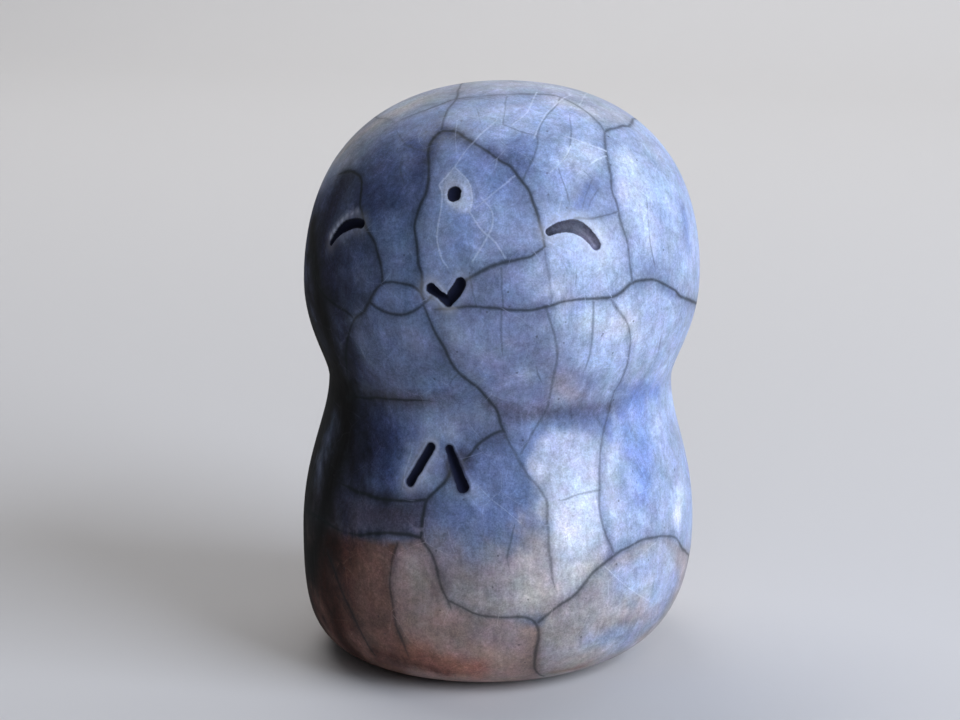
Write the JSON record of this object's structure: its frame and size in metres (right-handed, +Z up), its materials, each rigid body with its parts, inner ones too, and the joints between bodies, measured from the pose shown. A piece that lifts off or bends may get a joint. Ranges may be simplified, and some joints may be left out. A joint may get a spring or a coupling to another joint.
{
  "type": "jizo statue",
  "caption": "Small rounded hollow ceramic jizo figure with incised closed eyes, smile and folded hands, built from pinched pots luted at neck and base.",
  "frame": {"origin": "middle of the figure's box on the surface that it stands on", "axes": "+Z up through the crown; the face looks along -Y; the figure's left hand is towards +X"},
  "size_m": [0.0519, 0.0516, 0.075],
  "materials": {
    "crackle_clay": "burnished, smoke-crackled and waxed to a satin",
    "luting_slip": "fired slip, matt",
    "smoked_clay": "smoked bare clay, burnished edge"
  },
  "bodies": {
    "root": {"head_shell": "crackle_clay", "neck_slip": "luting_slip", "body_shell": "crackle_clay", "base_slip": "luting_slip", "base_slab": "smoked_clay"}
  },
  "joints": []
}
